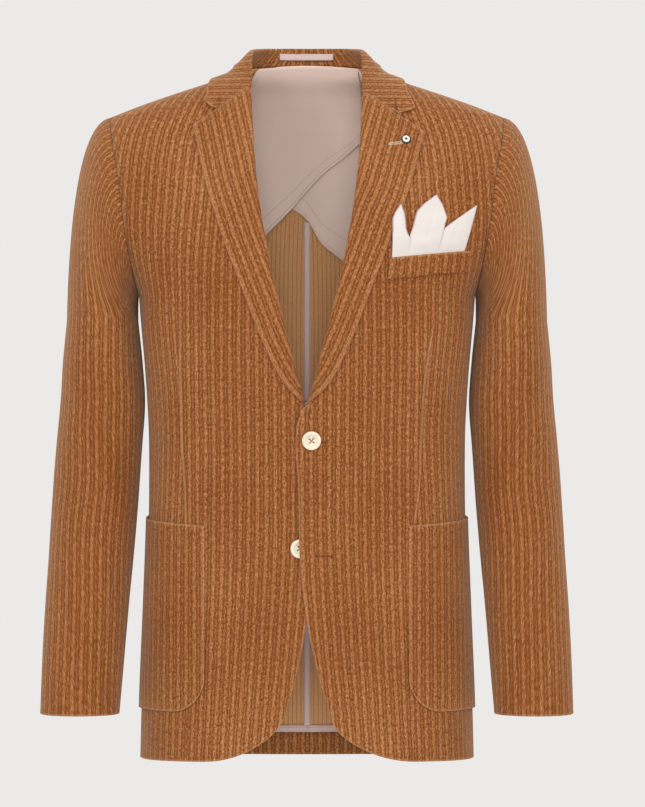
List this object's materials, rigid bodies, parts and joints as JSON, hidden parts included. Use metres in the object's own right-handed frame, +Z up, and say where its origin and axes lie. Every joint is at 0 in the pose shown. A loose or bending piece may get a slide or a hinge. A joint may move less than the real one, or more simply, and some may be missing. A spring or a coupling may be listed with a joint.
{
  "type": "corduroy jacket",
  "caption": "Single-breasted corduroy jacket, hollow as worn, with notched lapels, patch pockets, a chest pocket with a folded square, and an open neck, hem, cuffs and armholes.",
  "frame": {"origin": "middle of the neck opening, level with the back neck seam, where the wearer's shoulders hold it up", "axes": "+Z up, the jacket faces -Y, the wearer's left side is +X"},
  "size_m": [0.5792, 0.2491, 0.7906],
  "materials": {
    "corduroy": "ribbed pile",
    "lining": "smooth, slightly glossy",
    "linen": "matt",
    "button": "satin",
    "pin": "enamel"
  },
  "bodies": {
    "root": {"front_left": "corduroy", "front_right": "corduroy", "back_left": "corduroy", "back_right": "corduroy", "top_sleeve_left": "corduroy", "top_sleeve_right": "corduroy", "under_sleeve_left": "corduroy", "under_sleeve_right": "corduroy", "lapel_left": "corduroy", "lapel_right": "corduroy", "pocket_left": "corduroy", "pocket_right": "corduroy", "back_hem_left": "corduroy", "back_hem_right": "corduroy", "collar": "corduroy", "chest_welt": "corduroy", "pocket_square": "linen", "half_lining_left": "lining", "half_lining_right": "lining", "centre_seam_tape": "lining", "hem_tape_left": "lining", "hem_tape_right": "lining", "hanger_loop": "lining", "button_top": "button", "button_lower": "button", "lapel_pin": "pin"}
  },
  "joints": []
}
